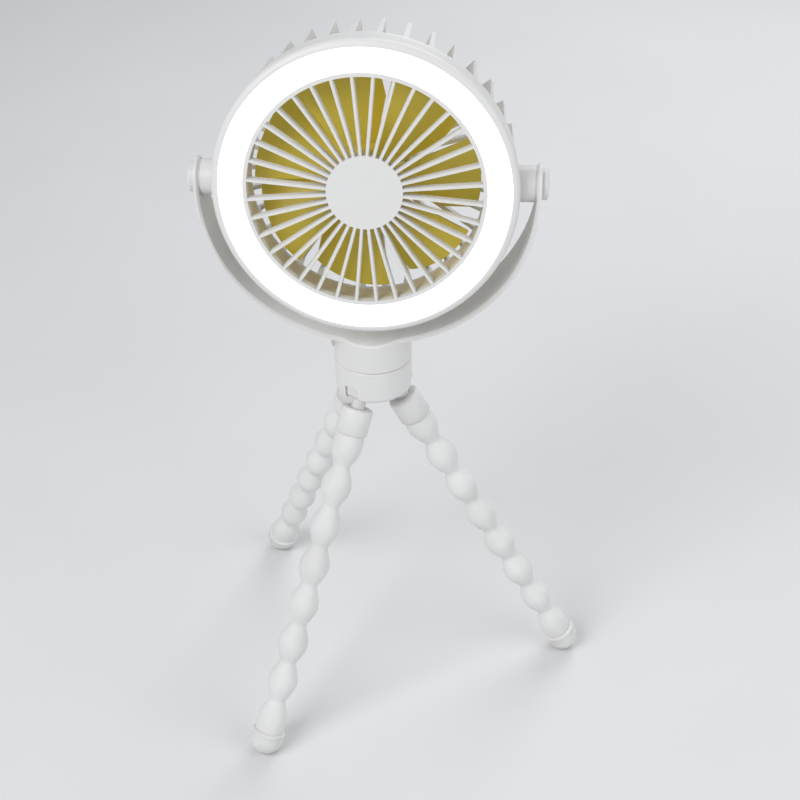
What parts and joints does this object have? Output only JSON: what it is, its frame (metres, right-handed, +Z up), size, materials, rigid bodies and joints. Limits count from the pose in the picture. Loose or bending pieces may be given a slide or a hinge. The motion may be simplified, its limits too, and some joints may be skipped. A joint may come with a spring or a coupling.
{
  "type": "clip-on fan",
  "caption": "Small round fan with a ring light, tilting in a U-shaped yoke on a swivelling base, on bendable beaded foam legs that stand or wrap round a bar.",
  "frame": {"origin": "on the table, under the middle of the whole object's box", "axes": "+Z up, -Y the way the fan faces (looking up slightly), +X to its right as seen from the front"},
  "size_m": [0.1724, 0.1594, 0.3236],
  "materials": {
    "white_shell": "fine satin grain",
    "inner_plastic": "satin",
    "light": "milky, glows evenly",
    "yellow_blades": "satin gloss",
    "button_plastic": "satin",
    "circuit_board": "white solder mask",
    "led": "clear resin",
    "steel": "plain zinc",
    "motor_case": "zinc plated",
    "cell_wrap": "foil",
    "foam": "matte closed-cell foam",
    "wire": "soft drawn",
    "foot_rubber": "matte"
  },
  "bodies": {
    "stand": {"tripod_hub": "white_shell", "hub_plate": "white_shell", "hub_plate_screw": "steel", "hinge_pins": "steel", "swivel_ring": "inner_plastic", "swivel_washer": "steel", "swivel_screw": "steel"},
    "yoke": {"yoke": "white_shell", "base_cover": "white_shell", "cover_screws": "steel", "battery_cell": "cell_wrap", "control_board": "circuit_board", "charging_port": "steel", "left_pivot_cap": "white_shell", "right_pivot_cap": "white_shell", "friction_washers": "white_shell"},
    "button": {"power_button": "button_plastic"},
    "head": {"front_shell": "white_shell", "light_diffuser": "light", "led_board": "circuit_board", "leds": "led", "air_duct": "inner_plastic", "front_grille": "white_shell", "rear_cage": "white_shell", "cage_screws": "steel", "motor_body": "motor_case", "motor_bearings": "steel", "motor_screws": "steel", "pivot_screws": "steel"},
    "impeller": {"impeller": "yellow_blades", "motor_shaft": "steel"},
    "front_leg": {"front_leg_knuckle": "white_shell", "front_leg_ferrule": "white_shell", "front_upper_sleeve": "foam", "front_upper_core": "wire"},
    "front_tip": {"front_lower_sleeve": "foam", "front_lower_core": "wire", "front_foot": "foot_rubber"},
    "right_leg": {"right_leg_knuckle": "white_shell", "right_leg_ferrule": "white_shell", "right_upper_sleeve": "foam", "right_upper_core": "wire"},
    "right_tip": {"right_lower_sleeve": "foam", "right_lower_core": "wire", "right_foot": "foot_rubber"},
    "rear_leg": {"rear_leg_knuckle": "white_shell", "rear_leg_ferrule": "white_shell", "rear_upper_sleeve": "foam", "rear_upper_core": "wire"},
    "rear_tip": {"rear_lower_sleeve": "foam", "rear_lower_core": "wire", "rear_foot": "foot_rubber"}
  },
  "joints": [
    {"name": "base_swivel", "type": "hinge", "parent": "stand", "child": "yoke", "pos_m": [-0.01179, 0.00497, 0.1743], "axis": [0, 0, 1], "continuous": true},
    {"name": "head_tilt", "type": "hinge", "parent": "yoke", "child": "head", "pos_m": [-0.01179, 0.00497, 0.2596], "axis": [1, 0, 0], "range_deg": [-83.3, 96.7]},
    {"name": "impeller_spin", "type": "hinge", "parent": "head", "child": "impeller", "pos_m": [-0.01179, 0.00497, 0.2596], "axis": [0, -0.9932, 0.1167], "continuous": true},
    {"name": "power_button", "type": "slide", "parent": "yoke", "child": "button", "axis": [1, 0, 0], "range_m": [0, 0.0006], "stiffness_N_per_m": 400, "springref_m": -0.001},
    {"name": "front_leg_fold", "type": "hinge", "parent": "stand", "child": "front_leg", "pos_m": [-0.01804, -0.00527, 0.1607], "axis": [0.8536, -0.521, 0], "range_deg": [0, 20]},
    {"name": "front_leg_bend", "type": "hinge", "parent": "front_leg", "child": "front_tip", "pos_m": [-0.03966, -0.0407, 0.0756], "axis": [-0.8536, 0.521, 0], "range_deg": [-15, 55]},
    {"name": "right_leg_fold", "type": "hinge", "parent": "stand", "child": "right_leg", "pos_m": [0.00021, 0.00507, 0.1607], "axis": [-0.0087, 1, 0], "range_deg": [0, 20]},
    {"name": "right_leg_bend", "type": "hinge", "parent": "right_leg", "child": "right_tip", "pos_m": [0.04171, 0.00544, 0.0756], "axis": [0.0087, -1, 0], "range_deg": [-15, 55]},
    {"name": "rear_leg_fold", "type": "hinge", "parent": "stand", "child": "rear_leg", "pos_m": [-0.0198, 0.0139, 0.1607], "axis": [-0.7443, -0.6678, 0], "range_deg": [0, 20]},
    {"name": "rear_leg_bend", "type": "hinge", "parent": "rear_leg", "child": "rear_tip", "pos_m": [-0.04752, 0.04479, 0.0756], "axis": [0.7443, 0.6678, 0], "range_deg": [-15, 55]}
  ]
}
